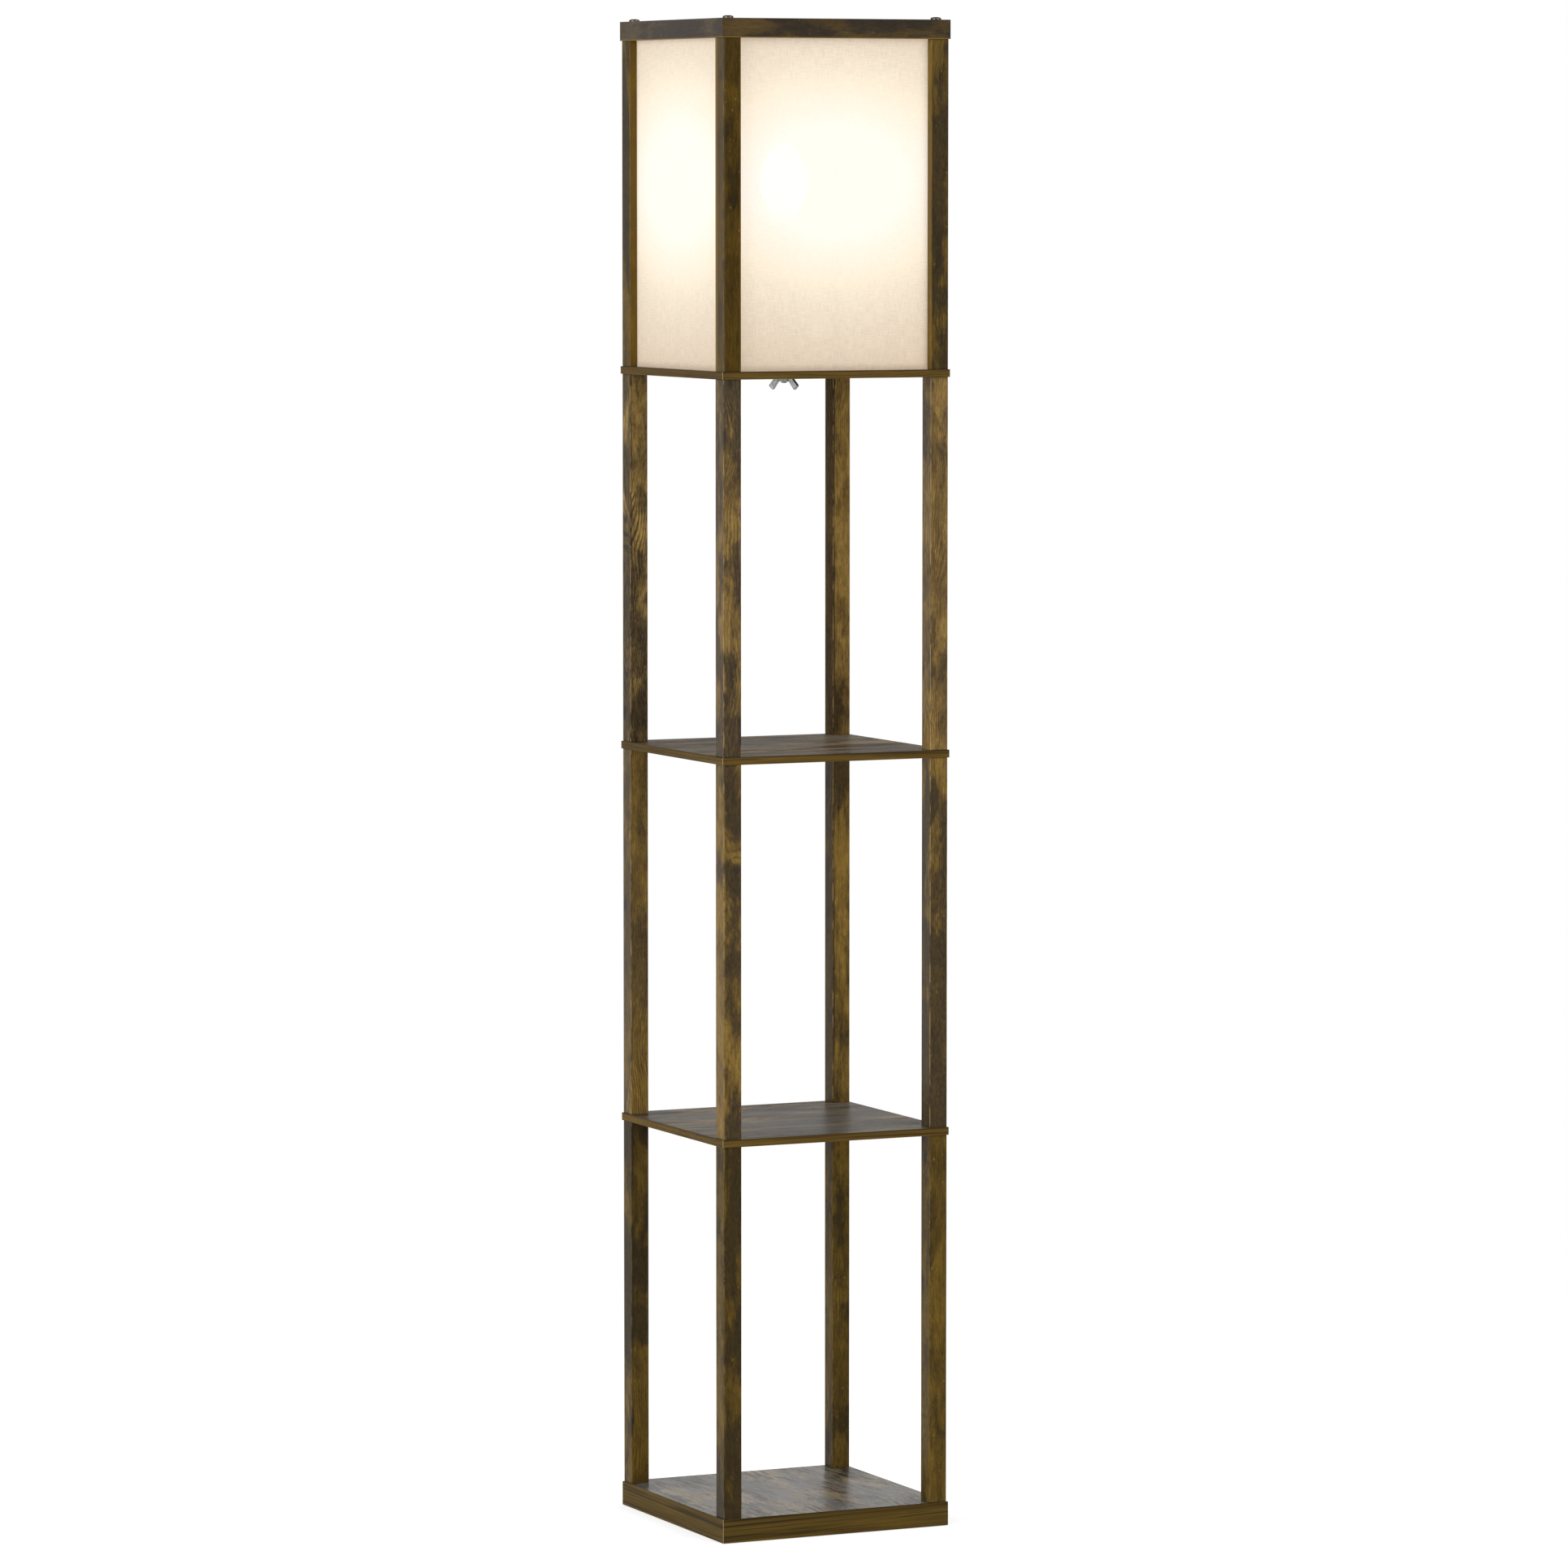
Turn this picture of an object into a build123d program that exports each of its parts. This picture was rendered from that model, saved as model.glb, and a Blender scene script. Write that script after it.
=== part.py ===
from build123d import *
from math import atan2, cos, degrees, pi, radians, sin, sqrt
import os

# A square floor lamp with open shelves below a linen shade, as the separate pieces it is made of.
# Sizes are in millimetres. The origin is on the floor under the middle of the base, and +Z is up.
# -Y is the front, -X is the left side.

# Boards: the base and the three shelves
board_side = 260.0              # over the edge bands
base_thickness = 25.0
shelf_thickness = 8.0
band_thickness = 0.8            # strips glued round each board's edge

# Posts
post_side = 20.0
post_inset = 1.5                # from the board's edge to the post's outer face
post_chamfer = 0.4
bay_height = 389.0              # posts of each open bay
shade_height = 342.0            # posts round the shade

# Top frame
rail_height = 20.0
rail_width = 22.0

# Shade panels: linen on a translucent liner, held in grooves
panel_recess = 8.5              # from the posts' outer faces to the linen
linen_thickness = 0.6
liner_thickness = 1.0
groove_depth = 3.5
groove_side_gap = 0.2           # on each side of a panel in its groove
groove_end_gap = 0.5            # between a panel's edge and the groove's floor

# Fasteners of the frame
thread_diameter = 6.0           # screws, studs and the bolt
thread_gap = 0.05               # radial, thread in its insert
insert_diameter = 8.5
insert_length = 13.0
insert_gap = 0.05               # radial, insert in its post
thread_reach = 14.0             # how far a screw or stud goes into a post
blind_depth = 17.0              # of the holes in the posts' ends
bolt_hole_gap = 0.25            # radial, screws and bolt through boards and steel
screw_end_chamfer = 0.5
countersunk_diameter = 12.0
countersunk_recess = 1.0        # from the base's underside up to the screw head
countersunk_gap = 0.1
cap_diameter = 11.0             # domed heads on the top frame
cap_rim = 1.9                   # wall below the dome, before its edge is rounded
cap_crown = 1.0                 # rise of the dome above its rim
cap_rim_radius = 1.3
socket_width = 4.0              # hex sockets, across flats
socket_depth = 1.6

# Bracket that carries the lampholder, bolted through the lamp shelf
bracket_height = 98.0
bracket_width = 25.0
bracket_thickness = 2.0
bracket_nose = 12.0             # flanges, from the lamp's axis to their free edge
bracket_back = 16.0             # flanges, from the lamp's axis to the web
bracket_bend = 2.0              # inner bend radius
bolt_length = 18.0
bolt_head_width = 10.0
bolt_head_height = 4.0

# Washer and wing nut under the lamp shelf
washer_diameter = 18.0
washer_thickness = 1.2
washer_gap = 0.3                # radial, round the bolt
nut_gap = 0.15                  # radial, round the bolt
nut_height = 5.2
nut_seat_diameter = 14.4
nut_end_diameter = 12.6
wing_span = 34.0
wing_drop = 13.7                # from the nut's seat down to the wing tips
wing_thickness = 4.2
wing_root_radius = 2.8
wing_root_sink = 0.7            # of a wing's root into the nut's side
wing_top_gap = 0.4              # between a wing's root and the nut's seat
wing_end_width = 4.0            # between the rounded corners of a wing's end
wing_corner_radius = 1.3
wing_slope = 45.0               # degrees, of a wing's end
wing_rounding = 0.9
wing_turn = -53.0               # degrees about +Z, where the nut was left

# Hollow nipple and its nuts
nipple_diameter = 10.0
nipple_bore = 7.0
nipple_gap = 0.1                # radial, in its nuts and holes
nipple_end = 1.5                # beyond each nut
nipple_nut_width = 14.0
nipple_nut_height = 3.0

# Lampholder for a 27 mm screw cap
holder_diameter = 39.0
holder_wall = 2.0
holder_floor = 3.0
holder_cap_height = 20.0
core_flange = 1.5               # clamped between cap and skirt
core_plug_down = 5.0
core_plug_up = 5.5
core_gap = 0.2
skirt_height = 33.0
skirt_lip = 2.2                 # how far the skirt's mouth turns in
shell_height = 22.0
shell_wall = 0.5
contact_rise = 3.0
contact_length = 15.0
contact_width = 6.0
contact_sheet = 0.6
terminal_width = 6.0
terminal_length = 8.0
terminal_height = 5.0
terminal_spacing = 18.0
terminal_screw_diameter = 4.0
terminal_screw_head = 1.2

# Bulb
bulb_gap = 0.3                  # between the bulb's cap and the holder
bulb_thread_diameter = 26.4
bulb_thread_depth = 0.8
bulb_thread_pitch = 3.629
bulb_thread_turns = 4
bulb_cap_wall = 0.4
bulb_tip_diameter = 9.6
bulb_tip_height = 1.5
bulb_insulator_height = 3.0
bulb_collar_height = 4.0
bulb_neck_diameter = 27.6
bulb_diameter = 50.0
bulb_height = 106.0             # from the tip contact to the crown
globe_lift = 4.0                # from the cap to the lowest point of the oval
globe_end_radius = 18.0
neck_blend = 8.0                # radius between neck and oval
glass_wall = 0.8
stem_rod_diameter = 6.0
stem_flare_height = 11.0
stem_height = 36.0
filament_diameter = 1.8
filament_count = 4
filament_length_up = 22.0
filament_spread = 9.0
filament_wire = 0.8

# Grommet where the supply lead leaves the lamp shelf
grommet_offset = 45.0           # behind the lamp's axis
grommet_hole_diameter = 12.0
grommet_gap = 0.1
grommet_bore = 7.0
grommet_flange_diameter = 17.0
grommet_flange = 2.0

# Places that follow from the sizes above
half_board = board_side / 2
post_outer = half_board - post_inset
post_inner = post_outer - post_side
post_axis = post_outer - post_side / 2
thread_radius = thread_diameter / 2
bolt_hole_radius = thread_radius + bolt_hole_gap
linen_face = post_outer - panel_recess
liner_face = linen_face - linen_thickness
panel_back = liner_face - liner_thickness
panel_half_width = post_inner + groove_depth - groove_end_gap
lower_shelf_bottom = base_thickness + bay_height
upper_shelf_bottom = lower_shelf_bottom + shelf_thickness + bay_height
lamp_shelf_bottom = upper_shelf_bottom + shelf_thickness + bay_height
lamp_shelf_top = lamp_shelf_bottom + shelf_thickness
rail_bottom = lamp_shelf_top + shade_height
rail_top = rail_bottom + rail_height
holder_seat = lamp_shelf_top + bracket_height
nut_seat = lamp_shelf_bottom - washer_thickness
core_bottom = holder_seat + holder_cap_height - core_plug_down
skirt_bottom = holder_seat + holder_cap_height + core_flange
core_top = skirt_bottom + core_plug_up
holder_inner_radius = holder_diameter / 2 - holder_wall
shell_inner_radius = bulb_thread_diameter / 2 + bulb_gap
bulb_foot = core_top + contact_rise + bulb_gap
bulb_cap_bottom = bulb_foot + bulb_tip_height + bulb_insulator_height
bulb_collar_bottom = bulb_cap_bottom + bulb_thread_turns * bulb_thread_pitch
bulb_cap_top = bulb_collar_bottom + bulb_collar_height
globe_top = bulb_foot + bulb_height
globe_half_length = (globe_top - bulb_cap_top - globe_lift) / 2
globe_centre = globe_top - globe_half_length

# A piece made for the front or the front left corner is turned into each of its places
corner_turns = {"front_left": 0, "front_right": 90, "back_right": 180, "back_left": 270}
side_turns = {"front": 0, "right": 90, "back": 180, "left": 270}


def block(x_range, y_range, z_range):
    centre = [(low + high) / 2 for low, high in (x_range, y_range, z_range)]
    size = [high - low for low, high in (x_range, y_range, z_range)]
    return Pos(*centre) * Box(*size)


def rod(radius, bottom, top, x=0.0, y=0.0):
    return Pos(x, y, (bottom + top) / 2) * Cylinder(radius, top - bottom)


def taper(bottom_radius, top_radius, bottom, top):
    return Pos(0, 0, (bottom + top) / 2) * Cone(bottom_radius, top_radius, top - bottom)


def hex_prism(width, bottom, top, x=0.0, y=0.0):
    outline = RegularPolygon(width / 2, 6, major_radius=False)
    return Pos(x, y, bottom) * extrude(outline, top - bottom)


def turned_copies(piece, turns):
    return [Rot(0, 0, turn) * piece for turn in turns.values()]


def at_post(piece):
    return Pos(-post_axis, -post_axis, 0) * piece


# Boards and their edge bands

def board(bottom, thickness):
    half = half_board - band_thickness
    core = block((-half, half), (-half, half), (bottom, bottom + thickness))
    hole = at_post(rod(bolt_hole_radius, bottom, bottom + thickness))
    for cut in turned_copies(hole, corner_turns):
        core -= cut
    return core


def base_board():
    head_radius = countersunk_diameter / 2 + countersunk_gap
    seat_top = countersunk_recess + head_radius - bolt_hole_radius
    seat = rod(head_radius, 0, countersunk_recess)
    seat += taper(head_radius, bolt_hole_radius, countersunk_recess, seat_top)
    core = board(0, base_thickness)
    for cut in turned_copies(at_post(seat), corner_turns):
        core -= cut
    return core


def lamp_shelf():
    core = board(lamp_shelf_bottom, shelf_thickness)
    core -= rod(bolt_hole_radius, lamp_shelf_bottom, lamp_shelf_top)
    core -= rod(grommet_hole_diameter / 2, lamp_shelf_bottom, lamp_shelf_top, y=grommet_offset)
    return core


def edge_band(bottom, thickness):
    z_range = (bottom, bottom + thickness)
    inner = half_board - band_thickness
    long_strip = block((-half_board, half_board), (-half_board, -inner), z_range)
    short_strip = block((-half_board, -inner), (-inner, inner), z_range)
    half_turn = Rot(0, 0, 180)
    return [long_strip, half_turn * long_strip, short_strip, half_turn * short_strip]


# Posts and top rails

def post(bottom, length):
    bar = Pos(0, 0, bottom + length / 2) * Box(post_side, post_side, length)
    bar = chamfer(bar.edges(), post_chamfer)
    hole_radius = insert_diameter / 2 + insert_gap
    bar -= rod(hole_radius, bottom, bottom + blind_depth)
    bar -= rod(hole_radius, bottom + length - blind_depth, bottom + length)
    return at_post(bar)


def panel_groove(z_range, half_length):
    near = linen_face + groove_side_gap
    far = panel_back - groove_side_gap
    return block((-half_length, half_length), (-near, -far), z_range)


def lamp_post():
    groove = panel_groove((lamp_shelf_top, rail_bottom), post_inner + groove_depth)
    bar = post(lamp_shelf_top, shade_height)
    bar -= groove
    bar -= Rot(0, 0, 270) * groove
    return bar


def front_rail():
    inner = half_board - rail_width
    corners = [(-half_board, -half_board), (half_board, -half_board), (inner, -inner), (-inner, -inner)]
    rail = Pos(0, 0, rail_bottom) * extrude(make_face(Polyline(*corners, close=True)), rail_height)
    for side in (-1, 1):
        rail -= rod(bolt_hole_radius, rail_bottom, rail_top, side * post_axis, -post_axis)
    rail -= panel_groove((rail_bottom, rail_bottom + groove_depth), panel_half_width + groove_end_gap)
    return rail


# Shade panels

def front_panel(outer, inner):
    z_range = (lamp_shelf_top, rail_bottom + groove_depth - groove_end_gap)
    return block((-panel_half_width, panel_half_width), (-outer, -inner), z_range)


# Fasteners of the frame

def insert(bottom):
    sleeve = rod(insert_diameter / 2, bottom, bottom + insert_length)
    sleeve -= rod(thread_radius + thread_gap, bottom, bottom + insert_length)
    return at_post(sleeve)


def post_inserts():
    pieces = []
    post_spans = [(base_thickness, bay_height)]
    post_spans.append((lower_shelf_bottom + shelf_thickness, bay_height))
    post_spans.append((upper_shelf_bottom + shelf_thickness, bay_height))
    post_spans.append((lamp_shelf_top, shade_height))
    for bottom, length in post_spans:
        pieces += turned_copies(insert(bottom), corner_turns)
        pieces += turned_copies(insert(bottom + length - insert_length), corner_turns)
    return pieces


def shelf_studs():
    pieces = []
    for bottom in (lower_shelf_bottom, upper_shelf_bottom, lamp_shelf_bottom):
        top = bottom + shelf_thickness + thread_reach
        stud = rod(thread_radius, bottom - thread_reach, top)
        stud = chamfer(stud.edges().filter_by(GeomType.CIRCLE), screw_end_chamfer)
        pieces += turned_copies(at_post(stud), corner_turns)
    return pieces


def base_screw():
    head_radius = countersunk_diameter / 2
    head_top = countersunk_recess + head_radius - thread_radius
    shank = rod(thread_radius, head_top, base_thickness + thread_reach)
    shank = chamfer(shank.edges().sort_by(Axis.Z)[-1], screw_end_chamfer)
    screw = shank + taper(head_radius, thread_radius, countersunk_recess, head_top)
    screw -= hex_prism(socket_width, countersunk_recess, countersunk_recess + socket_depth)
    return at_post(screw)


def cap_screw():
    radius = cap_diameter / 2
    height = cap_rim + cap_crown
    crown_radius = (radius ** 2 + cap_crown ** 2) / (2 * cap_crown)
    outline = Pos(radius / 2, height / 2) * Rectangle(radius, height)
    outline &= Pos(0, height - crown_radius) * Circle(crown_radius)
    rim = outline.vertices().group_by(Axis.X)[-1].sort_by(Axis.Y)[-1]
    outline = fillet(rim, cap_rim_radius)
    head = Pos(0, 0, rail_top) * revolve(Plane.XZ * outline, Axis.Z)
    head -= hex_prism(socket_width, rail_top + height - socket_depth, rail_top + height)
    shank = rod(thread_radius, rail_bottom - thread_reach, rail_top)
    shank = chamfer(shank.edges().sort_by(Axis.Z)[0], screw_end_chamfer)
    return at_post(head + shank)


# Bracket, bolt, washer and wing nut

def lamp_bracket():
    z_range = (lamp_shelf_top, holder_seat)
    half_width = bracket_width / 2
    web_outer = -(bracket_back + bracket_thickness)
    strip = block((-half_width, half_width), (web_outer, bracket_nose), z_range)
    gap_z = (lamp_shelf_top + bracket_thickness, holder_seat - bracket_thickness)
    gap = block((-half_width, half_width), (-bracket_back, bracket_nose), gap_z)
    strip = fillet(strip.edges().filter_by(Axis.X).group_by(Axis.Y)[0], bracket_bend + bracket_thickness)
    gap = fillet(gap.edges().filter_by(Axis.X).group_by(Axis.Y)[0], bracket_bend)
    strip -= gap
    strip -= rod(bolt_hole_radius, lamp_shelf_top, gap_z[0])
    strip -= rod(nipple_diameter / 2 + nipple_gap, gap_z[1], holder_seat)
    return strip


def bracket_bolt():
    under_head = lamp_shelf_top + bracket_thickness
    shank = rod(thread_radius, under_head - bolt_length, under_head)
    shank = chamfer(shank.edges().sort_by(Axis.Z)[0], screw_end_chamfer)
    return shank + hex_prism(bolt_head_width, under_head, under_head + bolt_head_height)


def bolt_washer():
    ring = rod(washer_diameter / 2, nut_seat, lamp_shelf_bottom)
    return ring - rod(thread_radius + washer_gap, nut_seat, lamp_shelf_bottom)


def wing_nut():
    hub = taper(nut_end_diameter / 2, nut_seat_diameter / 2, nut_seat - nut_height, nut_seat)
    corner = Circle(wing_corner_radius)
    outer_x = wing_span / 2 - wing_corner_radius
    lower_z = wing_corner_radius - wing_drop
    inner_x = outer_x - wing_end_width * cos(radians(wing_slope))
    upper_z = lower_z + wing_end_width * sin(radians(wing_slope))
    root_x = nut_end_diameter / 2 + wing_root_radius - wing_root_sink
    root = Pos(root_x, -wing_top_gap - wing_root_radius) * Circle(wing_root_radius)
    outline = root + Pos(outer_x, upper_z) * corner + Pos(inner_x, lower_z) * corner
    blade = Plane.XZ * make_hull(outline.edges())
    blade = extrude(blade, wing_thickness / 2, both=True)
    blade = fillet(blade.faces().filter_by(Axis.Y).edges(), wing_rounding)
    blade = Pos(0, 0, nut_seat) * blade
    nut = hub + blade + Rot(0, 0, 180) * blade
    nut -= rod(thread_radius + nut_gap, nut_seat - nut_height, nut_seat)
    return Rot(0, 0, wing_turn) * nut


# Nipple and lampholder

def mounting_nipple():
    bottom = holder_seat - bracket_thickness - nipple_nut_height - nipple_end
    top = holder_seat + holder_floor + nipple_nut_height + nipple_end
    return rod(nipple_diameter / 2, bottom, top) - rod(nipple_bore / 2, bottom, top)


def nipple_nuts():
    pieces = []
    under_bracket = holder_seat - bracket_thickness - nipple_nut_height
    for bottom in (under_bracket, holder_seat + holder_floor):
        top = bottom + nipple_nut_height
        nut = hex_prism(nipple_nut_width, bottom, top)
        pieces.append(nut - rod(nipple_diameter / 2 + nipple_gap, bottom, top))
    return pieces


def holder_cap():
    top = holder_seat + holder_cap_height
    cup = rod(holder_diameter / 2, holder_seat, top)
    cup = fillet(cup.edges().sort_by(Axis.Z)[0], holder_wall)
    cup -= rod(holder_inner_radius, holder_seat + holder_floor, top)
    return cup - rod(nipple_diameter / 2 + nipple_gap, holder_seat, holder_seat + holder_floor)


def holder_core():
    plug_radius = holder_inner_radius - core_gap
    core = rod(plug_radius, core_bottom, core_top)
    core += rod(holder_diameter / 2, holder_seat + holder_cap_height, skirt_bottom)
    return core


def holder_terminals():
    pieces = []
    bottom = core_bottom - terminal_height
    for side in (-1, 1):
        middle = side * terminal_spacing / 2
        x_range = (middle - terminal_width / 2, middle + terminal_width / 2)
        clamp = block(x_range, (-terminal_length / 2, terminal_length / 2), (bottom, core_bottom))
        clamp += rod(terminal_screw_diameter / 2, bottom - terminal_screw_head, bottom, middle)
        pieces.append(clamp)
    return pieces


def holder_shell():
    outer = shell_inner_radius + shell_wall
    shell = rod(outer, core_top, core_top + shell_height)
    shell -= rod(shell_inner_radius, core_top + shell_wall, core_top + shell_height)
    opening = (contact_length ** 2 + contact_width ** 2) ** 0.5 / 2 + shell_wall
    return shell - rod(opening, core_top, core_top + shell_wall)


def holder_contact():
    half = contact_length / 2
    foot = core_top
    ends = [(-half, foot), (0, foot + contact_rise - contact_sheet), (half, foot)]
    lower = ThreePointArc(*ends)
    upper = ThreePointArc((-half, foot + contact_sheet), (0, foot + contact_rise), (half, foot + contact_sheet))
    sides = [Line(lower @ 0, upper @ 0), Line(lower @ 1, upper @ 1)]
    strip = make_face(Curve() + [lower, upper] + sides)
    return extrude(Plane.XZ * strip, contact_width / 2, both=True)


def holder_skirt():
    top = skirt_bottom + skirt_height
    skirt = rod(holder_diameter / 2, skirt_bottom, top)
    skirt = fillet(skirt.edges().sort_by(Axis.Z)[-1], holder_wall / 2)
    skirt -= rod(holder_inner_radius, skirt_bottom, top - holder_wall)
    return skirt - rod(holder_inner_radius - skirt_lip, top - holder_wall, top)


# Bulb

def bulb_contact():
    disc = rod(bulb_tip_diameter / 2, bulb_foot, bulb_foot + bulb_tip_height)
    return fillet(disc.edges().sort_by(Axis.Z)[0], bulb_tip_height / 2)


def bulb_insulator():
    bottom = bulb_foot + bulb_tip_height
    root_radius = bulb_thread_diameter / 2 - bulb_thread_depth - bulb_cap_wall
    return taper(bulb_tip_diameter / 2, root_radius, bottom, bulb_cap_bottom)


def thread_radius_at(height):
    middle = (bulb_thread_diameter - bulb_thread_depth) / 2
    return middle - bulb_thread_depth / 2 * cos(2 * pi * height / bulb_thread_pitch)


def bulb_screw_cap():
    samples = 8 * bulb_thread_turns
    step = bulb_thread_turns * bulb_thread_pitch / samples
    crests = [(thread_radius_at(k * step), bulb_cap_bottom + k * step) for k in range(samples + 1)]
    thread = Spline(*crests)
    inner = thread_radius_at(0) - bulb_cap_wall
    collar = bulb_neck_diameter / 2
    rim = Polyline(thread @ 1, (collar, bulb_collar_bottom + bulb_collar_height / 2), (collar, bulb_cap_top),
                   (inner, bulb_cap_top), (inner, bulb_cap_bottom), thread @ 0)
    return revolve(Plane.XZ * make_face(Curve() + [thread, rim]), Axis.Z)


def oval_glass(inset):
    # Neck, concave blend, long side arc and crown, each moved in by the inset
    neck = bulb_neck_diameter / 2 - inset
    blend = neck_blend + inset
    crown_z = globe_top - globe_end_radius
    rise = crown_z - globe_centre
    half_width = bulb_diameter / 2
    side = (half_width**2 - globe_end_radius**2 + rise**2) / (2 * (half_width - globe_end_radius))
    side_x = half_width - side
    drop = sqrt((side + neck_blend) ** 2 - (neck + blend - side_x) ** 2)
    lean = degrees(atan2(drop, neck + blend - side_x))
    crown_lean = degrees(atan2(rise, -side_x))
    blend_z = globe_centre - drop
    foot = Line((neck, bulb_cap_top), (neck, blend_z))
    waist = CenterArc((neck + blend, blend_z), blend, 180, -lean)
    long_side = CenterArc((side_x, globe_centre), side - inset, -lean, lean + crown_lean)
    crown = CenterArc((0, crown_z), globe_end_radius - inset, crown_lean, 90 - crown_lean)
    axis = Polyline(crown @ 1, (0, bulb_cap_top), foot @ 0)
    return revolve(Plane.XZ * make_face(Curve() + [foot, waist, long_side, crown, axis]), Axis.Z)


def bulb_stem():
    flare_radius = bulb_neck_diameter / 2 - glass_wall - core_gap
    rod_radius = stem_rod_diameter / 2
    flare_top = bulb_cap_top + stem_flare_height
    flare = taper(flare_radius, rod_radius, bulb_cap_top, flare_top)
    return flare + rod(rod_radius, flare_top, bulb_cap_top + stem_height)


def bulb_filaments():
    hub_bottom = bulb_cap_top + stem_height
    foot_z = hub_bottom - filament_length_up
    frame = rod(stem_rod_diameter / 2, hub_bottom, hub_bottom + filament_diameter)
    frame += Pos(0, 0, foot_z) * Torus(filament_spread, filament_wire / 2)
    start = Vector(stem_rod_diameter / 2, 0, hub_bottom + filament_diameter / 2)
    end = Vector(filament_spread, 0, foot_z)
    flare_top = Vector(stem_rod_diameter / 2, 0, bulb_cap_top + stem_flare_height - filament_wire)
    for k in range(filament_count):
        turn = Rot(0, 0, 360 * k / filament_count)
        frame += turn * solid_between(start, end, filament_diameter / 2)
        frame += turn * solid_between(end, flare_top, filament_wire / 2)
    return frame - bulb_stem()


def solid_between(start, end, radius):
    run = end - start
    return Plane(origin=start, z_dir=run) * Pos(0, 0, run.length / 2) * Cylinder(radius, run.length)


# Grommet

def cord_grommet():
    bottom = lamp_shelf_bottom - grommet_flange
    top = lamp_shelf_top + grommet_flange
    flange_radius = grommet_flange_diameter / 2
    lower = rod(flange_radius, bottom, lamp_shelf_bottom)
    upper = rod(flange_radius, lamp_shelf_top, top)
    neck = rod(grommet_hole_diameter / 2 - grommet_gap, bottom, top)
    lower = fillet(lower.edges().sort_by(Axis.Z)[0], grommet_flange / 2)
    upper = fillet(upper.edges().sort_by(Axis.Z)[-1], grommet_flange / 2)
    ring = lower + neck + upper - rod(grommet_bore / 2, bottom, top)
    return Pos(0, grommet_offset, 0) * ring


# All pieces, each under its own name

def build_pieces():
    pieces = {}
    pieces["base_board"] = base_board()
    pieces["base_edge_band"] = edge_band(0, base_thickness)
    pieces["lower_shelf"] = board(lower_shelf_bottom, shelf_thickness)
    pieces["lower_shelf_edge_band"] = edge_band(lower_shelf_bottom, shelf_thickness)
    pieces["upper_shelf"] = board(upper_shelf_bottom, shelf_thickness)
    pieces["upper_shelf_edge_band"] = edge_band(upper_shelf_bottom, shelf_thickness)
    pieces["lamp_shelf"] = lamp_shelf()
    pieces["lamp_shelf_edge_band"] = edge_band(lamp_shelf_bottom, shelf_thickness)

    bay_posts = {"lower_post": post(base_thickness, bay_height)}
    bay_posts["middle_post"] = post(lower_shelf_bottom + shelf_thickness, bay_height)
    bay_posts["upper_post"] = post(upper_shelf_bottom + shelf_thickness, bay_height)
    bay_posts["lamp_post"] = lamp_post()
    for name, bar in bay_posts.items():
        for corner, turn in corner_turns.items():
            pieces[f"{name}_{corner}"] = Rot(0, 0, turn) * bar

    side_pieces = {"top_rail": front_rail()}
    side_pieces["linen_panel"] = front_panel(linen_face, liner_face)
    side_pieces["panel_liner"] = front_panel(liner_face, panel_back)
    for name, piece in side_pieces.items():
        for side, turn in side_turns.items():
            pieces[f"{name}_{side}"] = Rot(0, 0, turn) * piece

    pieces["post_inserts"] = post_inserts()
    pieces["shelf_studs"] = shelf_studs()
    pieces["base_screws"] = turned_copies(base_screw(), corner_turns)
    pieces["cap_screws"] = turned_copies(cap_screw(), corner_turns)

    pieces["lamp_bracket"] = lamp_bracket()
    pieces["bracket_bolt"] = bracket_bolt()
    pieces["bolt_washer"] = bolt_washer()
    pieces["wing_nut"] = wing_nut()
    pieces["mounting_nipple"] = mounting_nipple()
    pieces["nipple_nuts"] = nipple_nuts()
    pieces["holder_cap"] = holder_cap()
    pieces["holder_core"] = holder_core()
    pieces["holder_terminals"] = holder_terminals()
    pieces["holder_shell"] = holder_shell()
    pieces["holder_contact"] = holder_contact()
    pieces["holder_skirt"] = holder_skirt()

    pieces["bulb_contact"] = bulb_contact()
    pieces["bulb_insulator"] = bulb_insulator()
    pieces["bulb_screw_cap"] = bulb_screw_cap()
    pieces["bulb_globe"] = oval_glass(0) - oval_glass(glass_wall)
    pieces["bulb_stem"] = bulb_stem()
    pieces["bulb_filaments"] = bulb_filaments()

    pieces["cord_grommet"] = cord_grommet()
    return pieces


os.makedirs("parts", exist_ok=True)
for node, piece in build_pieces().items():
    if isinstance(piece, list):
        piece = Compound(children=piece)
    export_step(piece, f"parts/{node}.step")
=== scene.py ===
import math
import bpy
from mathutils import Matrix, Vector


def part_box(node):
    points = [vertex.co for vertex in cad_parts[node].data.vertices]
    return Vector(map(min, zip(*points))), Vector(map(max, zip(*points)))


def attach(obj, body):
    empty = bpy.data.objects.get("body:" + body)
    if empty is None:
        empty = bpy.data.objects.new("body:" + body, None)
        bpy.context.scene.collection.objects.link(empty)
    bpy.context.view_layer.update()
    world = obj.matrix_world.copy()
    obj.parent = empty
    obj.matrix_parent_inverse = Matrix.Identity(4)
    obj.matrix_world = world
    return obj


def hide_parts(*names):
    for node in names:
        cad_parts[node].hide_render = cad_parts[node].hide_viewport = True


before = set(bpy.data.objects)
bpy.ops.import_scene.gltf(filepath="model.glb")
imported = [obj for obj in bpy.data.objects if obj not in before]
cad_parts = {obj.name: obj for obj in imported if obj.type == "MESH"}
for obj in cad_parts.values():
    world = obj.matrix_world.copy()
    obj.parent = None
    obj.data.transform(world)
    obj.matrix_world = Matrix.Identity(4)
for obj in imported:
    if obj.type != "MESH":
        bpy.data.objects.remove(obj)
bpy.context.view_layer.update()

print("frame loaded:", len(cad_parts), "nodes")

corners = ["front_left", "front_right", "back_right", "back_left"]
sides = ["front", "right", "back", "left"]


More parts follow.
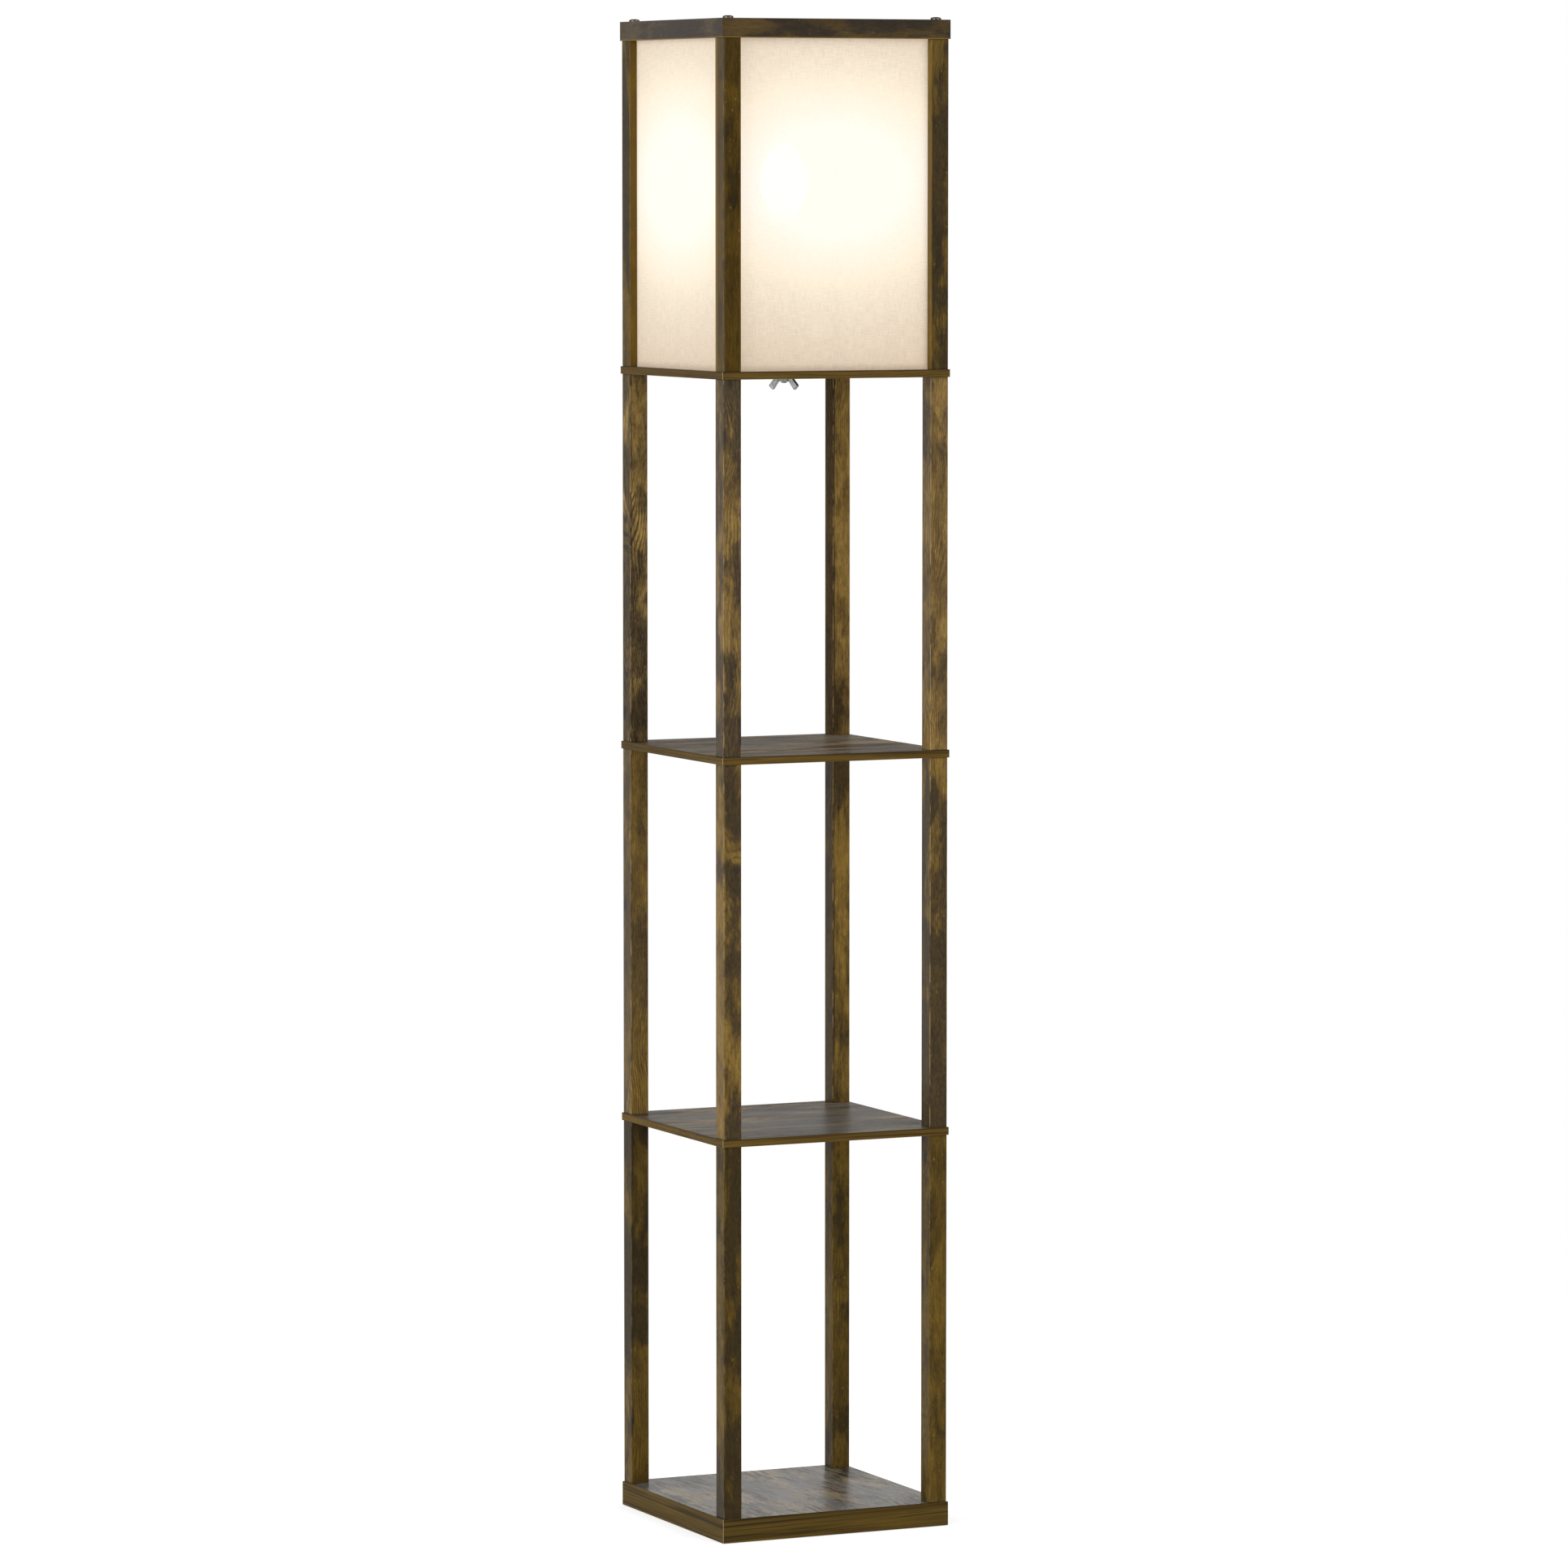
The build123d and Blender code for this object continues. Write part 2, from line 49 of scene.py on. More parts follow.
# small helpers for objects and node trees

def addObject(name, data):
    made = bpy.data.objects.new(name, data)
    bpy.context.scene.collection.objects.link(made)
    return made


def aimAt(piece, target):
    piece.rotation_euler = (Vector(target) - piece.location).to_track_quat("-Z", "Y").to_euler()


def srgb(red, green, blue):
    # 0-255 display values to a linear colour
    values = []
    for part in (red, green, blue):
        part = part / 255
        values.append(part / 12.92 if part <= 0.04045 else ((part + 0.055) / 1.055) ** 2.4)
    return (*values, 1.0)


def addNode(tree, kind, inputs=None, **settings):
    # an input that is a socket is linked, any other is set
    made = tree.nodes.new(kind)
    for key, value in settings.items():
        setattr(made, key, value)
    for key, value in (inputs or {}).items():
        if isinstance(value, bpy.types.NodeSocket):
            tree.links.new(value, made.inputs[key])
        else:
            made.inputs[key].default_value = value
    return made


def useGroup(tree, group, inputs):
    return addNode(tree, "ShaderNodeGroup", inputs, node_tree=group).outputs


def calc(tree, operation, first, second=0.0):
    return addNode(tree, "ShaderNodeMath", {0: first, 1: second}, operation=operation).outputs[0]


def plus(tree, first, *others):
    for other in others:
        first = calc(tree, "ADD", first, other)
    return first


def minus(tree, first, second):
    return calc(tree, "SUBTRACT", first, second)


def times(tree, first, *others):
    for other in others:
        first = calc(tree, "MULTIPLY", first, other)
    return first


def absolute(tree, value):
    return calc(tree, "ABSOLUTE", value)


def around(tree, field, amount):
    # a noise of 0 to 1 as a change to either side of 0
    return times(tree, minus(tree, field, 0.5), amount)


def vectorCalc(tree, operation, first, second):
    return addNode(tree, "ShaderNodeVectorMath", {0: first, 1: second}, operation=operation).outputs[0]


def jitter(tree, field, amount):
    # a noise's colour as a shift to either side
    return vectorCalc(tree, "MULTIPLY", vectorCalc(tree, "SUBTRACT", field, (0.5, 0.5, 0.5)), amount)


def lengthOf(tree, vector):
    return addNode(tree, "ShaderNodeVectorMath", {0: vector}, operation="LENGTH").outputs["Value"]


def axesOf(tree, vector):
    return addNode(tree, "ShaderNodeSeparateXYZ", {0: vector}).outputs


def joined(tree, first, second, third):
    return addNode(tree, "ShaderNodeCombineXYZ", {0: first, 1: second, 2: third}).outputs[0]


def stretch(tree, vector, scale, location=(0, 0, 0)):
    inputs = {"Vector": vector, "Scale": scale, "Location": location}
    return addNode(tree, "ShaderNodeMapping", inputs).outputs[0]


def noise(tree, vector, scale=1.0, detail=2.0, roughness=0.5, output="Fac"):
    inputs = {"Vector": vector, "Scale": scale, "Detail": detail, "Roughness": roughness}
    return addNode(tree, "ShaderNodeTexNoise", inputs).outputs[output]


def spread(tree, value, low, high, toLow=0.0, toHigh=1.0):
    # a smooth step between two values
    inputs = {"Value": value, "From Min": low, "From Max": high, "To Min": toLow, "To Max": toHigh}
    made = addNode(tree, "ShaderNodeMapRange", inputs, interpolation_type="SMOOTHSTEP")
    return made.outputs[0]


def uneven(tree, place, scale, low, high):
    # a value that wanders between low and high over the surface
    return spread(tree, noise(tree, place, scale=scale), 0.3, 0.7, low, high)


def blend(tree, factor, first, second, mode="MIX"):
    inputs = {0: factor, 6: first, 7: second}
    return addNode(tree, "ShaderNodeMix", inputs, data_type="RGBA", blend_type=mode).outputs[2]


def dimmed(tree, color, amount):
    # the colour times a value that changes over the surface
    return blend(tree, 1.0, color, joined(tree, amount, amount, amount), "MULTIPLY")


def newGroup(name, inputs, outputs):
    # inputs and outputs are lists of (name, socket type, default)
    tree = bpy.data.node_groups.new(name, "ShaderNodeTree")
    for direction, sockets in (("INPUT", inputs), ("OUTPUT", outputs)):
        for label, kind, default in sockets:
            socket = tree.interface.new_socket(name=label, in_out=direction, socket_type="NodeSocket" + kind)
            if default is not None:
                socket.default_value = default
    given = tree.nodes.new("NodeGroupInput").outputs
    result = tree.nodes.new("NodeGroupOutput").inputs
    return tree, given, result


def newMaterial(name):
    made = bpy.data.materials.new(name)
    made.use_nodes = True
    tree = made.node_tree
    shader = tree.nodes["Principled BSDF"]
    place = tree.nodes.new("ShaderNodeTexCoord").outputs["Object"]
    return made, tree, shader, place


def addBump(tree, shader, height, strength, distance):
    bump = addNode(tree, "ShaderNodeBump", {"Strength": strength, "Distance": distance, "Height": height})
    tree.links.new(bump.outputs[0], shader.inputs["Normal"])


def paint(names, material):
    for name in names:
        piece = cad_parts[name]
        piece.data.materials.clear()
        piece.data.materials.append(material)


# rustic printed wood: one group for posts, rails, boards and edge bands

woodCells = {    # cells of the noise per metre: across, across and along the grain
    "bend": (7, 7, 5.5), "waver": (60, 60, 30), "knots": (19, 19, 10), "arches": (28, 28, 9),
    "ringBreaks": (420, 420, 60), "ringPlaces": (14, 14, 7), "patches": (38, 38, 14),
    "smudges": (50, 50, 18), "zones": (9, 9, 6.5), "streaks": (520, 520, 9), "fibres": (1700, 1700, 120),
    "mottle": (520, 520, 190), "blots": (190, 190, 62), "pores": (1500, 1500, 170), "cracks": (110, 110, 7),
    "clouds": (30, 30, 11), "flecks": (420, 420, 189), "fleckPlaces": (70, 70, 70),
}
woodSizes = {                                # metres
    "bend": (0.04, 0.04, 0.0),               # how far the grain leans to the sides
    "waver": (0.004, 0.004, 0.0),
    "trunk": (0.019, 0.026, 0.0),            # from the piece's middle to the trunk's
    "ringSpacing": 0.0023,
    "archReach": 0.035,                      # how far arches draw the rings out of line
    "knotPull": 0.0045,                      # and how far they go round a knot
    "paleEdgeFrom": 0.0003, "paleEdgeTo": 0.0009,    # from a post's upright edge
    "leftFrom": 0.0005, "leftTo": 0.003,     # from a post's left face
    "frontPaintedGlow": 0.002,                    # width of the painted strip of glow beside the front panel
    "litHeight": 0.0015,                     # of a rail's lower edge, painted as lit by the bulb
}
# three inks are painted light: the grey sheen of left faces, the strip of glow on the lamp posts and the lit
# edge of the rails
woodInks = {
    "pore": srgb(40, 32, 22), "crack": srgb(32, 30, 30), "knot": srgb(34, 29, 25),
    "fleck": srgb(168, 136, 72), "paintedLightTint": srgb(116, 102, 84), "paleEdge": srgb(176, 146, 92),
    "paintedGlow": srgb(142, 110, 42), "lit": srgb(150, 118, 48),
    "bandTop": srgb(44, 33, 16), "bandEnd": srgb(176, 156, 124),
}


def buildWoodPrint():
    inputs = [
        ("Vector", "Vector", None), ("Light", "Color", srgb(132, 104, 52)),
        ("Dark", "Color", srgb(74, 57, 28)), ("Smudge", "Color", srgb(46, 40, 33)),
        ("Smudge Amount", "Float", 0.8), ("Smudge Cover", "Float", 0.5),
        ("Streak Amount", "Float", 0.4), ("Ring Amount", "Float", 0.5), ("Crack Amount", "Float", 0.0),
        ("Knot Amount", "Float", 0.6), ("Fleck Amount", "Float", 0.5), ("Arch Amount", "Float", 0.5),
        ("Pore Amount", "Float", 0.5),
    ]
    outputs = [("Color", "Color", None), ("Roughness", "Float", None), ("Height", "Float", None)]
    tree, given, result = newGroup("rusticWoodPrint", inputs, outputs)

    def layer(name, vector, location=(0, 0, 0), **settings):
        return noise(tree, stretch(tree, vector, woodCells[name], location), **settings)

    def cells(name, vector, location=(0, 0, 0)):
        place = stretch(tree, vector, woodCells[name], location)
        return addNode(tree, "ShaderNodeTexVoronoi", {"Vector": place, "Scale": 1.0}).outputs

    # the grain runs along Z, leans and wavers, and goes round the knots
    bend = jitter(tree, layer("bend", given["Vector"], detail=1.5, output="Color"), woodSizes["bend"])
    waver = jitter(tree, layer("waver", given["Vector"], output="Color"), woodSizes["waver"])
    grain = vectorCalc(tree, "ADD", vectorCalc(tree, "ADD", given["Vector"], bend), waver)
    knotCell = cells("knots", given["Vector"], location=(0.3, 0.7, 0.1))["Distance"]
    pull = spread(tree, knotCell, 0.0, 0.3, 1.0, 0.0)

    # growth rings of a trunk whose middle wanders beside the piece
    ringRadius = lengthOf(tree, stretch(tree, grain, (1, 1, 0), location=woodSizes["trunk"]))
    arches = layer("arches", grain, location=(4, 2, 6), detail=0.6)
    arches = times(tree, arches, woodSizes["archReach"], given["Arch Amount"])
    ringRadius = plus(tree, ringRadius, times(tree, pull, woodSizes["knotPull"]), arches)
    rings = calc(tree, "SINE", times(tree, ringRadius, 2 * math.pi / woodSizes["ringSpacing"]))
    ringBreak = layer("ringBreaks", grain, roughness=0.6)
    rings = plus(tree, rings, around(tree, ringBreak, 3.0))    # frays the rings
    ringPlace = layer("ringPlaces", given["Vector"], location=(9, 4, 1), detail=1.5)
    ringPlace = calc(tree, "MAXIMUM", spread(tree, ringPlace, 0.4, 0.6, 0.25, 1.0), pull)
    ringShade = times(tree, spread(tree, rings, -0.1, 1.0), ringPlace, given["Ring Amount"])

    patches = layer("patches", grain, detail=3, roughness=0.6)
    smudge = layer("smudges", grain, location=(3.1, 1.7, 0.4), detail=6, roughness=0.66)
    streaks = layer("streaks", grain, detail=3, roughness=0.65)
    fibres = layer("fibres", grain, roughness=0.6)
    mottle = layer("mottle", grain, detail=3, roughness=0.65)
    blots = layer("blots", grain, location=(6, 3, 8), detail=4, roughness=0.62)
    pores = layer("pores", grain, location=(7, 2, 5), detail=1)
    crackField = layer("cracks", grain, location=(1.3, 5.2, 2.6), detail=4, roughness=0.62)

    # the ground of the print, from its patches down to its fibres
    tone = plus(tree, times(tree, spread(tree, patches, 0.4, 0.6), 0.45),
                times(tree, spread(tree, blots, 0.36, 0.64), 0.3),
                times(tree, spread(tree, mottle, 0.32, 0.68), 0.2),
                times(tree, spread(tree, fibres, 0.3, 0.7), 0.15))
    color = blend(tree, tone, given["Dark"], given["Light"])
    ringInk = blend(tree, 0.55, given["Dark"], given["Smudge"])
    color = blend(tree, ringShade, color, ringInk)
    streakShade = times(tree, spread(tree, streaks, 0.5, 0.62), given["Streak Amount"])
    color = blend(tree, streakShade, color, given["Smudge"])

    # smudges come in zones
    zone = layer("zones", given["Vector"], location=(2.2, 6.1, 3.3))
    zone = plus(tree, given["Smudge Cover"], around(tree, zone, 4.0))    # sets full and bare zones apart
    cover = plus(tree, smudge, around(tree, zone, 0.2), around(tree, blots, 0.2))
    smudgeShade = times(tree, spread(tree, cover, 0.43, 0.62), given["Smudge Amount"],
                        spread(tree, mottle, 0.25, 0.6, 1.0, 0.8))
    color = blend(tree, smudgeShade, color, given["Smudge"])
    poreShade = times(tree, spread(tree, pores, 0.62, 0.72), given["Pore Amount"])
    color = blend(tree, poreShade, color, woodInks["pore"])

    # cracks are the thin level lines of a rough field
    crack = times(tree, spread(tree, absolute(tree, minus(tree, crackField, 0.5)), 0.008, 0.06, 1.0, 0.0),
                  spread(tree, smudge, 0.42, 0.54), given["Crack Amount"])
    color = blend(tree, crack, color, woodInks["crack"])
    knot = times(tree, spread(tree, knotCell, 0.05, 0.11, 1.0, 0.0), given["Knot Amount"])
    color = blend(tree, knot, color, woodInks["knot"])

    # pale flecks, in clusters
    fleckCell = cells("flecks", grain)
    fleckPick = addNode(tree, "ShaderNodeSeparateColor", {0: fleckCell["Color"]}).outputs[0]
    fleckEdge = plus(tree, fleckCell["Distance"], times(tree, fibres, 0.5))
    fleckPlace = layer("fleckPlaces", given["Vector"])
    fleck = times(tree, spread(tree, fleckEdge, 0.3, 0.62, 1.0, 0.0), spread(tree, fleckPick, 0.7, 0.9),
                  spread(tree, fleckPlace, 0.52, 0.66), given["Fleck Amount"])
    tree.links.new(blend(tree, fleck, color, woodInks["fleck"]), result["Color"])

    rough = plus(tree, times(tree, mottle, 0.16), times(tree, poreShade, 0.4))
    tree.links.new(rough, result["Roughness"])
    height = minus(tree, times(tree, fibres, 0.5), poreShade)
    height = minus(tree, height, times(tree, ringShade, 0.4))
    tree.links.new(minus(tree, height, crack), result["Height"])
    return tree


woodPrint = buildWoodPrint()
print("wood print group built")


def alongGrain(tree, place, axis):
    # turns the place so that the grain axis becomes Z
    parts = axesOf(tree, place)
    order = {"X": (1, 2, 0), "Y": (2, 0, 1), "Z": (0, 1, 2)}[axis]
    return joined(tree, *(parts[index] for index in order))


def finishWood(tree, shader, vector, look, tints):
    # tints are pairs of a mask and an ink, laid over the print one after another
    printed = useGroup(tree, woodPrint, {
        "Vector": vector, "Light": look["light"], "Dark": look["dark"], "Smudge": look["smudge"],
        "Smudge Amount": look["smudgeAmount"], "Smudge Cover": look["smudgeCover"],
        "Streak Amount": look["streakAmount"], "Ring Amount": look["ringAmount"],
        "Crack Amount": look["crackAmount"], "Knot Amount": look["knotAmount"],
        "Fleck Amount": look["fleckAmount"], "Arch Amount": look["archAmount"],
        "Pore Amount": look["poreAmount"],
    })
    color = printed["Color"]
    for mask, ink in tints:
        color = blend(tree, mask, color, ink)
    tree.links.new(color, shader.inputs["Base Color"])
    tree.links.new(plus(tree, printed["Roughness"], look["roughness"]), shader.inputs["Roughness"])
    shader.inputs["Specular IOR Level"].default_value = look["specular"]
    addBump(tree, shader, printed["Height"], 1.0, look["bump"])


def uprightEdges(tree, parts, node):
    # 1 along the upright edges of a post, 0 a little away from them
    low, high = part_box(node)
    away = []
    for axis in (0, 1):
        fromMiddle = absolute(tree, minus(tree, parts[axis], (low[axis] + high[axis]) / 2))
        away.append(minus(tree, (high[axis] - low[axis]) / 2, fromMiddle))
    inward = calc(tree, "MAXIMUM", away[0], away[1])
    return spread(tree, inward, woodSizes["paleEdgeFrom"], woodSizes["paleEdgeTo"], 1.0, 0.0)


def postTints(tree, place, node, look):
    # what a post gets over its print, painted light among it, and how far its smudges cover it
    parts = axesOf(tree, place)
    # painted shading: the left face's smudges cover more or less of it, as light falls on that side
    fromLeft = minus(tree, parts[0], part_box(node)[0][0])
    leftFace = spread(tree, fromLeft, woodSizes["leftFrom"], woodSizes["leftTo"], 1.0, 0.0)
    cover = plus(tree, times(tree, leftFace, look["leftPaintedShading"]), look["smudgeCover"])
    # a paler line along the upright edges, broken up by noise
    paleEdge = spread(tree, noise(tree, place, scale=60, detail=3), 0.42, 0.62, 0.0, look["paleEdge"])
    paleEdge = times(tree, uprightEdges(tree, parts, node), paleEdge)
    # the left face also gets a painted sheen, a grey tint of reflected light
    tints = [(times(tree, leftFace, look["leftPaintedSheen"]), woodInks["paintedLightTint"]), (paleEdge, woodInks["paleEdge"])]
    if node.startswith("lamp_post"):
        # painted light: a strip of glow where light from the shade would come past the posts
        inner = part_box("lamp_post_front_right")[0][0]
        frontEnd = inner + woodSizes["frontPaintedGlow"]
        leftEnd = inner + look["paintedGlowWidth"]
        besideFront = spread(tree, absolute(tree, parts[0]), inner, frontEnd, 0.35, 0.0)
        besideLeft = spread(tree, absolute(tree, parts[1]), inner, leftEnd, look["paintedGlow"], 0.0)
        tints.append((calc(tree, "MAXIMUM", besideFront, besideLeft), woodInks["paintedGlow"]))
    return tints, cover


def woodMaterial(name, look, axis, offset, post=None):
    made, tree, shader, place = newMaterial(name)
    vector = stretch(tree, alongGrain(tree, place, axis), (1, 1, look.get("length", 1)), offset)
    tints = []
    if post:
        tints, cover = postTints(tree, place, post, look)
        look = dict(look, smudgeCover=cover)
    # painted light: a glowing line along a rail's lower edge, where the bulb would light it
    if "litEdge" in look:
        litTop = look["litEdge"] + woodSizes["litHeight"]
        lit = spread(tree, axesOf(tree, place)[2], look["litEdge"], litTop, 0.6, 0.0)
        tints.append((lit, woodInks["lit"]))
    if "weather" in look:
        # grey weathered clouds, drawn out along the grain
        clouds = noise(tree, stretch(tree, vector, woodCells["clouds"]), detail=4, roughness=0.6)
        clouds = times(tree, spread(tree, clouds, 0.42, 0.62), look["weather"])
        tints.append((clouds, look["weathered"]))
    finishWood(tree, shader, vector, look, tints)
    return made


# the last four are painted light: left-face shading (lighter if negative) and sheen, and on the lamp posts
# the width and strength of a strip of glow
postWood = {
    "light": srgb(150, 119, 62), "dark": srgb(82, 63, 32), "smudge": srgb(38, 32, 27),
    "smudgeAmount": 0.9, "smudgeCover": 0.5, "streakAmount": 0.3, "ringAmount": 0.65, "crackAmount": 0.0,
    "knotAmount": 0.85, "fleckAmount": 0.5, "archAmount": 0.5, "poreAmount": 0.5,
    "roughness": 0.3, "specular": 0.12, "bump": 0.00006, "paleEdge": 0.6,
    "leftPaintedShading": 0.0, "leftPaintedSheen": 0.0, "paintedGlowWidth": 0.001, "paintedGlow": 0.35,
}
warmPostWood = dict(postWood, light=srgb(144, 113, 50), dark=srgb(80, 61, 25), smudge=srgb(38, 32, 25))
darkPostWood = dict(postWood, light=srgb(112, 87, 31), dark=srgb(66, 50, 16), smudge=srgb(34, 28, 18),
                    ringAmount=0.55, specular=0.07, paleEdge=0.2)
postLooks = {"lower_post": darkPostWood, "middle_post": warmPostWood, "upper_post": postWood,
             "lamp_post": darkPostWood}
# darker and lighter lengths of the print, and painted shading on some left faces
ownLooks = {
    "lower_post_front_left": {"smudgeCover": 1.05, "leftPaintedShading": -0.5},
    "lower_post_front_right": {"smudgeCover": 0.1, "archAmount": 0.8},
    "lower_post_back_left": {"smudgeCover": 0.4, "archAmount": 1.0, "leftPaintedShading": 0.3},
    "lower_post_back_right": {"smudgeCover": 0.35, "specular": 0.05},
    "middle_post_front_left": {"smudgeCover": 0.65, "archAmount": 0.9, "leftPaintedShading": -0.6},
    "middle_post_front_right": {"smudgeCover": 1.25},
    "middle_post_back_left": {"smudgeCover": 0.3, "smudgeAmount": 0.7, "leftPaintedShading": 0.6},
    "middle_post_back_right": {"smudgeCover": 0.4, "leftPaintedShading": 1.4, "specular": 0.05},
    "upper_post_front_left": {"smudgeCover": 0.6, "leftPaintedShading": 0.2},
    "upper_post_front_right": {"smudgeCover": 0.35, "archAmount": 0.8},
    "upper_post_back_left": {"light": srgb(176, 142, 80), "smudge": srgb(36, 31, 27), "smudgeCover": 0.25,
                             "ringAmount": 0.8, "archAmount": 1.0, "leftPaintedShading": 0.6, "specular": 0.05},
    "upper_post_back_right": {"smudgeCover": 0.1, "leftPaintedShading": 2.0, "specular": 0.005},
    "lamp_post_front_left": {"smudgeCover": 0.7, "light": srgb(88, 66, 20), "dark": srgb(56, 42, 12),
                             "smudge": srgb(34, 27, 14), "ringAmount": 0.25, "archAmount": 0.2,
                             "specular": 0.03, "leftPaintedSheen": 0.25, "paintedGlowWidth": 0.008, "paintedGlow": 0.8},
    "lamp_post_front_right": {"smudgeCover": 0.8},
    "lamp_post_back_left": {"smudgeCover": 0.5, "archAmount": 1.0, "specular": 0.06},
}

railWood = dict(darkPostWood, light=srgb(88, 69, 34), dark=srgb(56, 43, 21), smudge=srgb(32, 29, 27),
                smudgeAmount=0.85, smudgeCover=0.85, ringAmount=0.15, streakAmount=0.15, fleckAmount=0.2,
                poreAmount=0.2, litEdge=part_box("top_rail_front")[0][2])
# the left rail: the same wood greyer and paler, a painted sheen of light on its side
leftRailSheenWood = dict(railWood, light=srgb(92, 77, 55), dark=srgb(64, 53, 40), smudge=srgb(46, 41, 39))

boardFace = dict(postWood, light=srgb(130, 109, 82), dark=srgb(70, 57, 42), smudge=srgb(30, 29, 28),
                 smudgeAmount=0.75, streakAmount=0.5, ringAmount=0.1, crackAmount=1.0, knotAmount=0.4,
                 fleckAmount=0.0, roughness=0.16, specular=0.085, bump=0.00012,
                 weather=0.75, weathered=srgb(78, 78, 78), length=0.55)
shelfFace = dict(boardFace, light=srgb(156, 132, 96), dark=srgb(72, 58, 42), weathered=srgb(90, 88, 83),
                 smudgeAmount=0.6)
baseFace = dict(boardFace, light=srgb(152, 136, 111), dark=srgb(92, 80, 62), smudge=srgb(46, 44, 42),
                weathered=srgb(106, 106, 104), smudgeAmount=0.65, streakAmount=0.3, specular=0.036,
                length=0.85)
boards = {
    "base_board": {"axis": "Y", "shift": 0.0, "look": baseFace},
    "lower_shelf": {"axis": "X", "shift": 0.7, "look": dict(shelfFace, specular=0.011, roughness=0.25)},
    "upper_shelf": {"axis": "X", "shift": 1.9, "look": dict(shelfFace, specular=0.008, roughness=0.35)},
    "lamp_shelf": {"axis": "X", "shift": 3.1, "look": boardFace},
}

# each piece has its own stretch of the print
for level, (row, look) in enumerate(postLooks.items()):
    for turn, corner in enumerate(corners):
        offset = (0.31 * turn + 0.11 * level, 0.17 * level, 0.73 * turn + 0.29 * level)
        name = f"{row}_{corner}"
        ownLook = dict(look, **ownLooks.get(name, {}))
        paint([name], woodMaterial("wood_" + name, ownLook, "Z", offset, name))
for turn, side in enumerate(sides):
    axis = "X" if side in ("front", "back") else "Y"
    offset = (0.4 * turn, 0.9, 0.37 * turn)
    look = leftRailSheenWood if side == "left" else railWood
    paint([f"top_rail_{side}"], woodMaterial(f"wood_top_rail_{side}", look, axis, offset))
for name, board in boards.items():
    offset = (board["shift"], 0.2, board["shift"])
    paint([name], woodMaterial("face_" + name, board["look"], board["axis"], offset))


# edge bands: across and length stretch the print, strip is their thickness,
# topLine is the dark line along the top

bandWood = dict(postWood, light=srgb(108, 83, 33), dark=srgb(78, 58, 20), smudge=srgb(38, 29, 14),
                smudgeAmount=0.35, streakAmount=0.6, ringAmount=0.35, knotAmount=0.0, fleckAmount=0.1,
                archAmount=0.1, poreAmount=0.25, roughness=0.45, specular=0.07, across=0.8, length=0.16,
                strip=0.0008, topLine=0.0009)
baseBandWood = dict(bandWood, light=srgb(114, 90, 37), dark=srgb(78, 60, 23), smudge=srgb(34, 26, 12),
                    streakAmount=0.75, ringAmount=0.5, specular=0.05, across=0.65, length=0.08, topLine=0.0)


def bandMaterial(node, look, offset):
    # strips on the front and back run along X, the others along Y; the long strips' cut ends show pale
    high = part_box(node)[1]
    made, tree, shader, place = newMaterial("band_" + node)
    parts = axesOf(tree, place)
    onLongStrip = calc(tree, "GREATER_THAN", absolute(tree, parts[1]), high[1] - look["strip"])
    onEnd = calc(tree, "GREATER_THAN", absolute(tree, parts[0]), high[0] - look["strip"] / 16)
    tints = [(times(tree, onLongStrip, onEnd), woodInks["bandEnd"])]
    if look["topLine"]:
        topLine = spread(tree, parts[2], high[2] - 2 * look["topLine"], high[2] - look["topLine"], 0.0, 0.6)
        tints.insert(0, (topLine, woodInks["bandTop"]))
    ways = {0: onLongStrip, 4: alongGrain(tree, place, "Y"), 5: alongGrain(tree, place, "X")}
    vector = addNode(tree, "ShaderNodeMix", ways, data_type="VECTOR").outputs[1]
    vector = stretch(tree, vector, (look["across"], look["across"], look["length"]), offset)
    finishWood(tree, shader, vector, look, tints)
    return made


for number, name in enumerate(("base", "lower_shelf", "upper_shelf", "lamp_shelf")):
    node = name + "_edge_band"
    look = baseBandWood if name == "base" else bandWood
    paint([node], bandMaterial(node, look, (0.6 + number, 0.3 * number, 0.8 * number)))
print("wood painted")


# shade: linen over a translucent liner; the bulb's light from inside is painted on them as a glow

shade = {
    "bulbHeight": 1.411,         # middle of the lit glass
    "panelDistance": 0.120,      # from the lamp's axis to the linen
    "glow": [                    # share of the bulb's light that reaches a point, and its colour there
        (0.09, (0.34, 0.26, 0.19)), (0.14, (0.37, 0.29, 0.222)), (0.25, (0.452, 0.384, 0.31)),
        (0.45, (0.60, 0.537, 0.445)), (0.75, (0.665, 0.642, 0.622)),
    ],
    "linen": srgb(176, 163, 144),
    "linenSeeThrough": 0.13,
    "linenSpecular": 0.2,
    "linenRoughness": 0.85,
    "thread": 0.00085,           # spacing of the yarns
    "threadBump": 0.00015,
    "threadWobble": (0.0005, 0.0005, 0.0),
    "liner": srgb(225, 220, 208),
    "linerSeeThrough": 0.5,
    "linerRoughness": 0.45,
    "rows": 48,
    "columns": 32,
    "pucker": 0.00012,           # depth of the waves in the cloth
    "puckerWaves": ((95, 21), (-17, 63)),    # radians per metre, across and up
}


